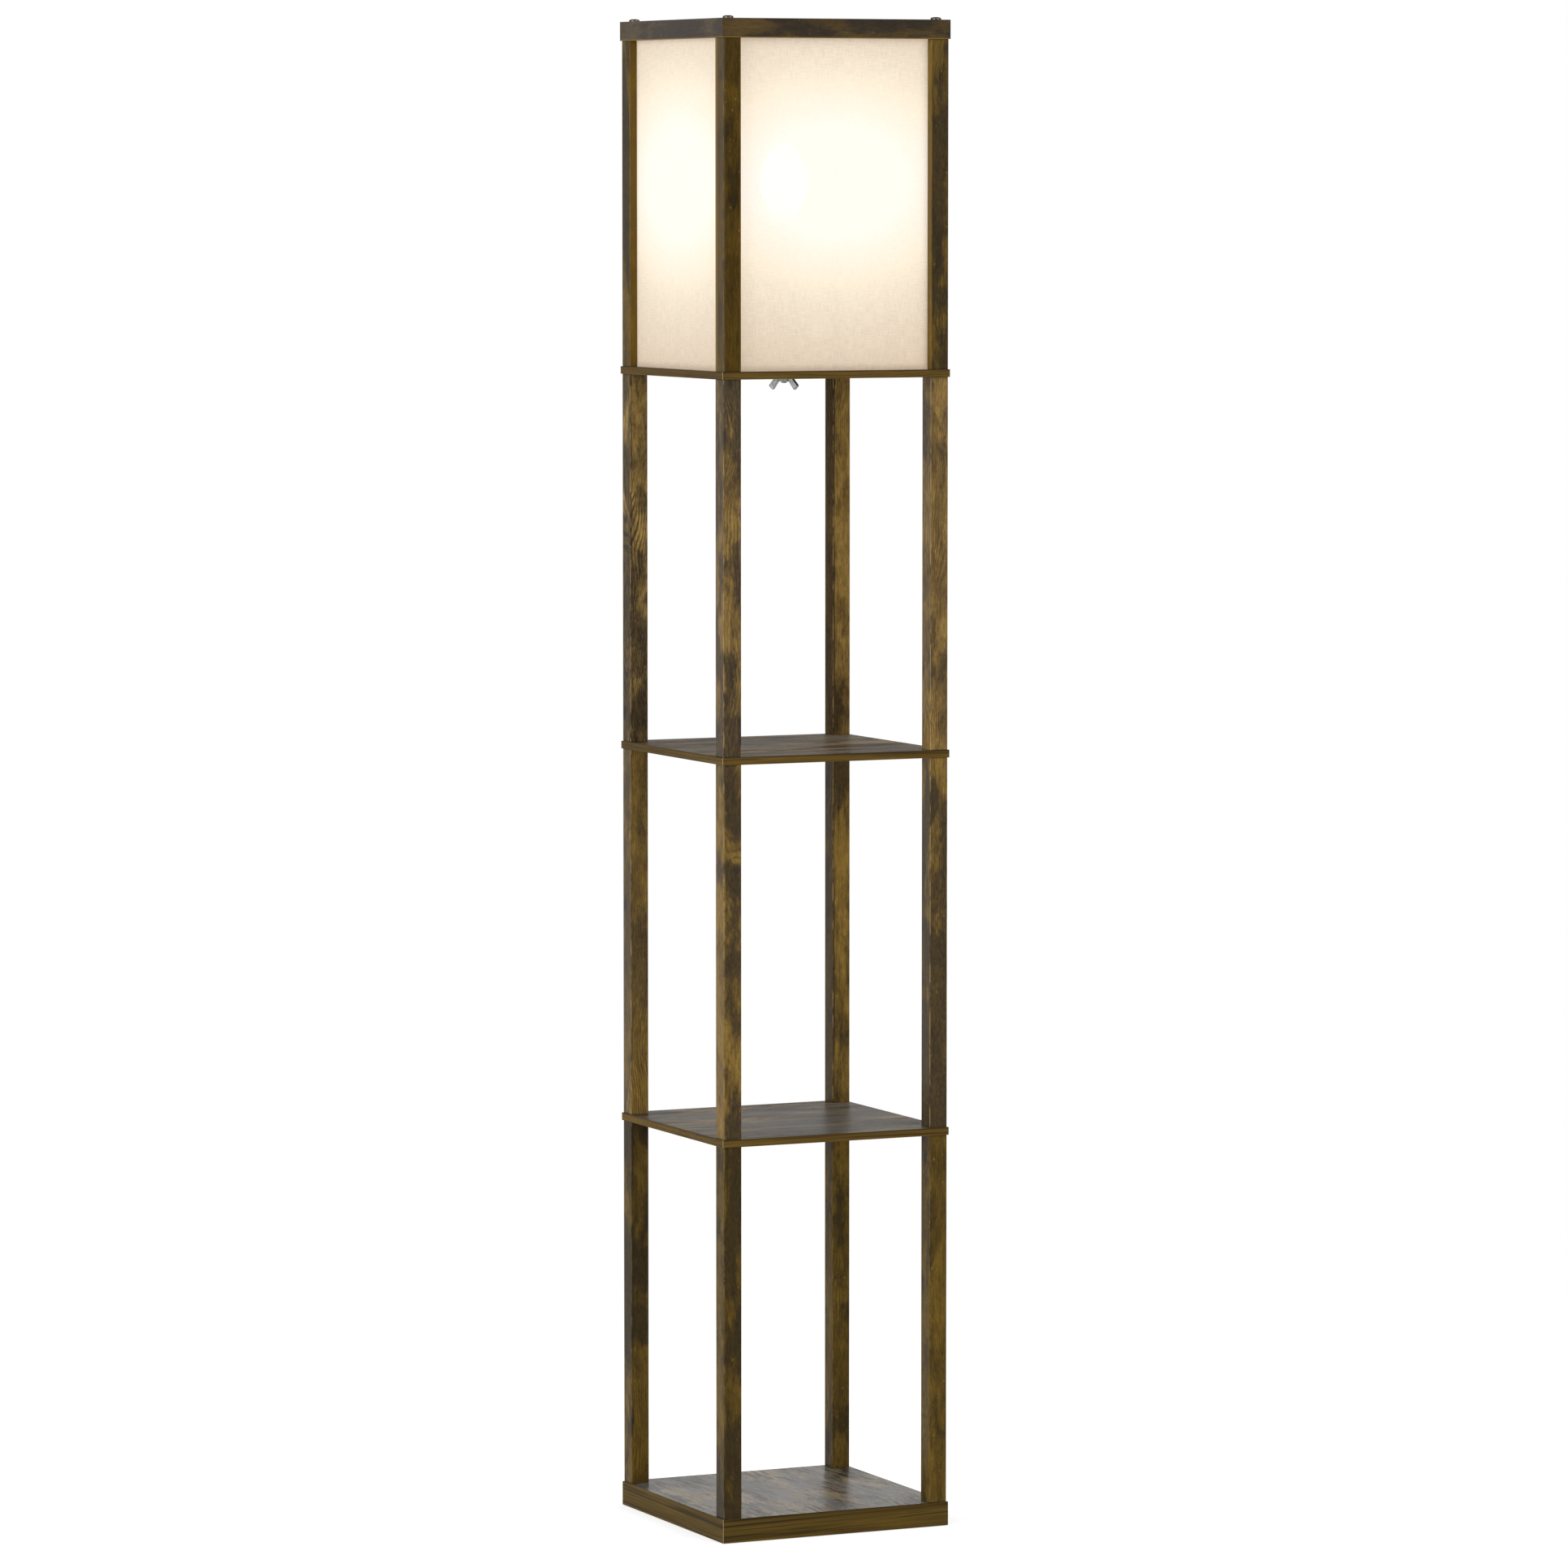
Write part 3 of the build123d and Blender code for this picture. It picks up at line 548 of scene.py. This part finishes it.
def buildShadeGlow():
    # how brightly the bulb lights a point of the shade, as the light that comes through it, painted on as a
    # glow
    tree, given, result = newGroup("shadeGlow", [("Vector", "Vector", None)], [("Color", "Color", None)])
    fromBulb = vectorCalc(tree, "SUBTRACT", given["Vector"], (0.0, 0.0, shade["bulbHeight"]))
    parts = axesOf(tree, fromBulb)
    level = lengthOf(tree, vectorCalc(tree, "MULTIPLY", fromBulb, (1.0, 1.0, 0.0)))
    ahead = calc(tree, "MAXIMUM", absolute(tree, parts[0]), absolute(tree, parts[1]))
    level = times(tree, plus(tree, level, ahead), 0.5)    # less fall-off to the sides
    distance = lengthOf(tree, joined(tree, level, 0.0, parts[2]))
    share = calc(tree, "POWER", calc(tree, "DIVIDE", shade["panelDistance"], distance), 3.0)
    ramp = addNode(tree, "ShaderNodeValToRGB", {0: share})
    stops = ramp.color_ramp.elements
    for stop, (position, color) in ((stops[0], shade["glow"][0]), (stops[1], shade["glow"][-1])):
        stop.position = position
        stop.color = (*color, 1)
    for position, color in shade["glow"][1:-1]:
        stops.new(position).color = (*color, 1)
    tree.links.new(ramp.outputs[0], result["Color"])
    return tree


def buildLinenWeave():
    # plain weave with slubs: thickness of the cloth, its height, and how closed it is
    inputs = [("Across", "Float", 0.0), ("Up", "Float", 0.0), ("Thread", "Float", 0.001)]
    outputs = [("Thickness", "Float", None), ("Height", "Float", None), ("Closed", "Float", None)]
    tree, given, result = newGroup("linenWeave", inputs, outputs)
    place = joined(tree, given["Across"], given["Up"], 0.0)
    wobble = jitter(tree, noise(tree, place, scale=300, output="Color"), shade["threadWobble"])
    loose = axesOf(tree, vectorCalc(tree, "ADD", place, wobble))
    waves = []
    for part in (loose[0], loose[1]):
        turns = times(tree, calc(tree, "DIVIDE", part, given["Thread"]), math.pi)
        waves.append(calc(tree, "SINE", turns))
    # warp and weft take turns on top
    over = times(tree, waves[0], waves[1], 0.25)
    warp = times(tree, absolute(tree, waves[0]), plus(tree, 0.75, over))
    weft = times(tree, absolute(tree, waves[1]), minus(tree, 0.75, over))
    yarns = calc(tree, "MAXIMUM", warp, weft)
    warpSlub = noise(tree, stretch(tree, place, (1180, 80, 1)), detail=3, roughness=0.7)
    weftSlub = noise(tree, stretch(tree, place, (80, 1180, 1), (5, 3, 0)), detail=3, roughness=0.7)
    bands = noise(tree, stretch(tree, place, (130, 9, 1), (2, 8, 0)))
    slubs = plus(tree, spread(tree, warpSlub, 0.25, 0.8), spread(tree, weftSlub, 0.25, 0.8))
    thickness = plus(tree, times(tree, slubs, 0.3), times(tree, yarns, 0.35), times(tree, bands, 0.12))
    tree.links.new(thickness, result["Thickness"])
    tree.links.new(plus(tree, yarns, times(tree, slubs, 0.4)), result["Height"])
    tree.links.new(spread(tree, yarns, 0.1, 0.6, 0.5, 1.0), result["Closed"])
    return tree


shadeGlow = buildShadeGlow()
linenWeave = buildLinenWeave()


def linenMaterial(side):
    made, tree, shader, place = newMaterial("linen_" + side)
    parts = axesOf(tree, place)
    across = parts[0] if side in ("front", "back") else parts[1]
    weave = useGroup(tree, linenWeave, {"Across": across, "Up": parts[2], "Thread": shade["thread"]})
    glow = useGroup(tree, shadeGlow, {"Vector": place})["Color"]
    shadow = spread(tree, weave["Thickness"], 0.28, 0.88, 1.1, 0.84)
    # the bright middle drowns the weave
    bright = addNode(tree, "ShaderNodeSeparateColor", {0: glow}).outputs[1]
    calm = spread(tree, bright, 0.4, 0.62, 0.0, 0.7)
    shadow = plus(tree, shadow, times(tree, minus(tree, 1.0, shadow), calm))
    # the light through the cloth is painted on as emission, darker where the cloth is thicker
    tree.links.new(dimmed(tree, glow, shadow), shader.inputs["Emission Color"])
    tree.links.new(dimmed(tree, shade["linen"], shadow), shader.inputs["Base Color"])
    closed = times(tree, weave["Closed"], shade["linenSeeThrough"])
    tree.links.new(minus(tree, 1.0, closed), shader.inputs["Alpha"])
    shader.inputs["Emission Strength"].default_value = 1.0
    shader.inputs["Roughness"].default_value = shade["linenRoughness"]
    shader.inputs["Specular IOR Level"].default_value = shade["linenSpecular"]
    addBump(tree, shader, weave["Height"], 0.6, shade["threadBump"])
    return made


def linerMaterial():
    made, tree, shader, place = newMaterial("shade_liner")
    glow = useGroup(tree, shadeGlow, {"Vector": place})["Color"]
    # the bulb's light is painted on the liner as emission; an uneven tint dims it and the liner's colour
    paintedLightTint = uneven(tree, place, 140, 0.62, 0.65)
    tree.links.new(dimmed(tree, glow, paintedLightTint), shader.inputs["Emission Color"])
    tree.links.new(dimmed(tree, shade["liner"], paintedLightTint), shader.inputs["Base Color"])
    shader.inputs["Emission Strength"].default_value = 1.0
    shader.inputs["Roughness"].default_value = shade["linerRoughness"]
    shader.inputs["Alpha"].default_value = 1.0 - shade["linerSeeThrough"]
    return made


def linenSheet(side):
    # a stretched sheet in the place of the panel, with the faint pucker of cloth glued to its liner
    node = "linen_panel_" + side
    low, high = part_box(node)
    flatAxis = 1 if side in ("front", "back") else 0
    acrossAxis = 1 - flatAxis
    outward = 1 if side in ("right", "back") else -1
    outer, inner = (high[flatAxis], low[flatAxis]) if outward > 0 else (low[flatAxis], high[flatAxis])
    width = high[acrossAxis] - low[acrossAxis]
    height = high[2] - low[2]
    rows, columns = shade["rows"], shade["columns"]
    vertices = []
    for layer in (outer, inner):
        for row in range(rows + 1):
            for column in range(columns + 1):
                across = low[acrossAxis] + width * column / columns
                up = low[2] + height * row / rows
                wave = 1.0
                for turns, climb in shade["puckerWaves"]:
                    wave *= math.sin(across * turns + up * climb)
                sink = shade["pucker"] * (1 + wave) / 2 if layer == outer else 0.0
                point = [0.0, 0.0, up]
                point[acrossAxis] = across
                point[flatAxis] = layer - outward * sink
                vertices.append(point)

    faces = []
    layerSize = (rows + 1) * (columns + 1)
    flipOuter = side in ("back", "left")

    def addQuad(quad, flip):
        faces.append(tuple(reversed(quad)) if flip else tuple(quad))

    for row in range(rows):
        for column in range(columns):
            first = row * (columns + 1) + column
            quad = (first, first + 1, first + columns + 2, first + columns + 1)
            addQuad(quad, flipOuter)
            addQuad([index + layerSize for index in quad], not flipOuter)
    # the sheet's edge, once round its rim
    rim = list(range(columns + 1))
    rim += [row * (columns + 1) + columns for row in range(1, rows + 1)]
    rim += [rows * (columns + 1) + column for column in range(columns - 1, -1, -1)]
    rim += [row * (columns + 1) for row in range(rows - 1, 0, -1)]
    for start, end in zip(rim, rim[1:] + rim[:1]):
        addQuad((end, start, start + layerSize, end + layerSize), flipOuter)

    mesh = bpy.data.meshes.new("linen_" + side)
    mesh.from_pydata(vertices, [], faces)
    for face in mesh.polygons:
        face.use_smooth = True
    mesh.materials.append(linenMaterial(side))
    piece = addObject("linen_" + side, mesh)
    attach(piece, "lamp")
    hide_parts(node)


for side in sides:
    linenSheet(side)
paint(["panel_liner_" + side for side in sides], linerMaterial())
print("shade made")


# hardware: metals, plastics, rubber, glass

def buildSurfaceMarks():
    # uneven gloss and fine texture of plated, coated and moulded surfaces
    inputs = [("Vector", "Vector", None), ("Scale", "Float", 400.0), ("Low", "Float", 0.3),
              ("High", "Float", 0.45)]
    outputs = [("Roughness", "Float", None), ("Shade", "Float", None), ("Height", "Float", None)]
    tree, given, result = newGroup("surfaceMarks", inputs, outputs)
    coarse = noise(tree, given["Vector"], scale=given["Scale"], detail=3, roughness=0.6)
    fine = noise(tree, given["Vector"], scale=times(tree, given["Scale"], 4.0))
    span = minus(tree, given["High"], given["Low"])
    rough = plus(tree, times(tree, spread(tree, coarse, 0.3, 0.7), span), given["Low"])
    tree.links.new(rough, result["Roughness"])
    tree.links.new(spread(tree, coarse, 0.25, 0.75, 0.88, 1.0), result["Shade"])
    tree.links.new(plus(tree, times(tree, coarse, 0.5), fine), result["Height"])
    return tree


surfaceMarks = buildSurfaceMarks()

# scale is the marks per metre, low and high are the roughness, bump is in metres
hardware = {
    "zincSteel": {
        "color": srgb(142, 146, 140), "metallic": 1.0,
        "scale": 420.0, "low": 0.3, "high": 0.44, "bump": 0.00002,
        "nodes": ["post_inserts", "shelf_studs", "base_screws", "bracket_bolt", "bolt_washer", "wing_nut",
                  "mounting_nipple", "nipple_nuts"],
    },
    "capLacquer": {
        "color": srgb(96, 88, 80), "metallic": 1.0,
        "scale": 500.0, "low": 0.2, "high": 0.3, "bump": 0.00001,
        "edge": (0.05, 0.05, 0.05, 1.0), "nodes": ["cap_screws"],
    },
    "whiteCoat": {
        "color": srgb(214, 212, 206), "metallic": 0.0,
        "scale": 900.0, "low": 0.35, "high": 0.5, "bump": 0.00004,
        "nodes": ["lamp_bracket"],
    },
    "blackMoulding": {
        "color": srgb(34, 33, 32), "metallic": 0.0,
        "scale": 1200.0, "low": 0.4, "high": 0.55, "bump": 0.00003,
        "nodes": ["holder_cap", "holder_skirt"],
    },
    "ceramicCore": {
        "color": srgb(220, 214, 200), "metallic": 0.0,
        "scale": 300.0, "low": 0.25, "high": 0.4, "bump": 0.00002,
        "nodes": ["holder_core"],
    },
    "bareBrass": {
        "color": srgb(214, 176, 98), "metallic": 1.0,
        "scale": 500.0, "low": 0.22, "high": 0.4, "bump": 0.00002,
        "nodes": ["holder_shell", "holder_contact", "holder_terminals", "bulb_contact"],
    },
    "nickelShell": {
        "color": srgb(206, 202, 192), "metallic": 1.0,
        "scale": 600.0, "low": 0.14, "high": 0.28, "bump": 0.00002,
        "nodes": ["bulb_screw_cap"],
    },
    "blackGlass": {
        "color": srgb(16, 16, 20), "metallic": 0.0,
        "scale": 300.0, "low": 0.05, "high": 0.12, "bump": 0.00001,
        "nodes": ["bulb_insulator"],
    },
    "softRubber": {
        "color": srgb(30, 29, 28), "metallic": 0.0,
        "scale": 900.0, "low": 0.6, "high": 0.8, "bump": 0.00005,
        "nodes": ["cord_grommet"],
    },
}


def hardwareMaterial(name, look):
    made, tree, shader, place = newMaterial(name)
    values = {"Vector": place, "Scale": look["scale"], "Low": look["low"], "High": look["high"]}
    marks = useGroup(tree, surfaceMarks, values)
    tree.links.new(dimmed(tree, look["color"], marks["Shade"]), shader.inputs["Base Color"])
    tree.links.new(marks["Roughness"], shader.inputs["Roughness"])
    shader.inputs["Metallic"].default_value = look["metallic"]
    shader.inputs["Specular Tint"].default_value = look.get("edge", (1.0, 1.0, 1.0, 1.0))
    addBump(tree, shader, marks["Height"], 1.0, look["bump"])
    return made


for name, look in hardware.items():
    paint(look["nodes"], hardwareMaterial(name, look))


bulb = {
    "opal": srgb(255, 246, 228),
    "light": (1.0, 0.90, 0.74, 1.0),
    "strength": 9.0,
    "neck": 0.02,                # metres over which the glow comes up from the cap
    "stem": srgb(236, 240, 240),
    "filament": srgb(250, 205, 96),
    "filamentRoughness": 0.5,
}


def opalGlass():
    # frosted glass that glows, a little less where the neck goes into its cap
    made, tree, shader, place = newMaterial("opalGlass")
    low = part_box("bulb_globe")[0]
    lit = spread(tree, axesOf(tree, place)[2], low[2], low[2] + bulb["neck"], 0.35, 1.0)
    frost = uneven(tree, place, 900, 0.95, 1.0)
    tree.links.new(dimmed(tree, bulb["light"], times(tree, lit, frost)), shader.inputs["Emission Color"])
    tree.links.new(uneven(tree, place, 500, 0.25, 0.35), shader.inputs["Roughness"])
    shader.inputs["Emission Strength"].default_value = bulb["strength"]
    shader.inputs["Base Color"].default_value = bulb["opal"]
    return made


def clearStem():
    made, tree, shader, place = newMaterial("clearStem")
    shader.inputs["Base Color"].default_value = bulb["stem"]
    shader.inputs["Transmission Weight"].default_value = 1.0
    tree.links.new(uneven(tree, place, 300, 0.02, 0.08), shader.inputs["Roughness"])
    return made


def coatedFilament():
    made, tree, shader, place = newMaterial("coatedFilament")
    grains = uneven(tree, place, 2500, 0.8, 1.0)
    tree.links.new(dimmed(tree, bulb["filament"], grains), shader.inputs["Base Color"])
    shader.inputs["Roughness"].default_value = bulb["filamentRoughness"]
    return made


paint(["bulb_globe"], opalGlass())
paint(["bulb_stem"], clearStem())
paint(["bulb_filaments"], coatedFilament())
print("hardware painted")


# studio: white floor and surroundings, soft light at a plain level

studio = {
    "world": 0.62,
    "floorSize": 80.0,
    "floorDrop": 0.0005,         # keeps the floor out of the base's underside
    "floorGrey": 0.8,
    "floorLift": 0.5,
    "whiteFrom": 0.7,            # metres from the lamp where the floor turns to plain white
    "whiteTo": 2.0,
    "lightTarget": (0, 0, 0.8),
}
softboxes = {
    "keyBox": {"place": (2.6, -4.2, 3.2), "size": 3.2, "power": 95.0, "color": (1.0, 1.0, 1.0)},
    "fillBox": {"place": (-4.6, -1.6, 2.4), "size": 3.0, "power": 127.0, "color": (0.90, 0.955, 1.0)},
}


def seenRays(tree):
    # 1 for rays that end in the picture, straight or by way of metal and glass
    path = tree.nodes.new("ShaderNodeLightPath").outputs
    seen = calc(tree, "MAXIMUM", path["Is Camera Ray"], path["Is Glossy Ray"])
    return calc(tree, "MAXIMUM", seen, path["Is Transmission Ray"])


def buildWorld():
    world = bpy.data.worlds.new("studio")
    world.use_nodes = True
    tree = world.node_tree
    tree.nodes.clear()
    strength = plus(tree, times(tree, seenRays(tree), 1.0 - studio["world"]), studio["world"])
    background = addNode(tree, "ShaderNodeBackground", {"Color": (1, 1, 1, 1), "Strength": strength})
    addNode(tree, "ShaderNodeOutputWorld", {"Surface": background.outputs[0]})
    bpy.context.scene.world = world


def floorMaterial():
    made = bpy.data.materials.new("floorPaint")
    made.use_nodes = True
    tree = made.node_tree
    tree.nodes.clear()
    grey = studio["floorGrey"]
    diffuse = addNode(tree, "ShaderNodeBsdfDiffuse", {"Color": (grey, grey, grey, 1)})
    seen = seenRays(tree)
    lift = addNode(tree, "ShaderNodeEmission", {"Strength": times(tree, seen, studio["floorLift"])})
    near = addNode(tree, "ShaderNodeAddShader", {0: diffuse.outputs[0], 1: lift.outputs[0]})
    white = addNode(tree, "ShaderNodeEmission", {"Strength": 1.0})
    away = lengthOf(tree, tree.nodes.new("ShaderNodeTexCoord").outputs["Object"])
    far = times(tree, spread(tree, away, studio["whiteFrom"], studio["whiteTo"]), seen)
    top = addNode(tree, "ShaderNodeMixShader", {0: far, 1: near.outputs[0], 2: white.outputs[0]})
    clear = tree.nodes.new("ShaderNodeBsdfTransparent")    # so that the underside can be looked at
    below = tree.nodes.new("ShaderNodeNewGeometry").outputs["Backfacing"]
    both = addNode(tree, "ShaderNodeMixShader", {0: below, 1: top.outputs[0], 2: clear.outputs[0]})
    addNode(tree, "ShaderNodeOutputMaterial", {"Surface": both.outputs[0]})
    return made


def buildFloor():
    half = studio["floorSize"] / 2
    mesh = bpy.data.meshes.new("floor")
    floorCorners = [(-half, -half, 0), (half, -half, 0), (half, half, 0), (-half, half, 0)]
    mesh.from_pydata(floorCorners, [], [(0, 1, 2, 3)])
    mesh.materials.append(floorMaterial())
    floor = addObject("floor", mesh)
    floor.location.z = -studio["floorDrop"]


def addSoftbox(name, place, size, power, color):
    light = bpy.data.lights.new(name, "AREA")
    light.shape = "SQUARE"
    light.size = size
    light.energy = power
    light.color = color
    box = addObject(name, light)
    box.location = place
    aimAt(box, studio["lightTarget"])


buildWorld()
buildFloor()
for name, box in softboxes.items():
    addSoftbox(name, **box)


camera = {
    "azimuth": 25.0,             # degrees, towards the left side
    "distance": 8.0,
    "height": 1.4267,
    "aimHeight": 0.778,
    "lens": 174.95,              # millimetres
    "sensor": 36.0,
    "farLimit": 200.0,
}


def buildCamera():
    turn = math.radians(camera["azimuth"])
    data = bpy.data.cameras.new("camera")
    data.lens = camera["lens"]
    data.sensor_width = camera["sensor"]
    data.clip_end = camera["farLimit"]
    made = addObject("camera", data)
    away = camera["distance"]
    made.location = (-away * math.sin(turn), -away * math.cos(turn), camera["height"])
    aimAt(made, (0, 0, camera["aimHeight"]))
    bpy.context.scene.camera = made


buildCamera()
bpy.context.scene.view_settings.view_transform = "Standard"
print("studio and camera ready")
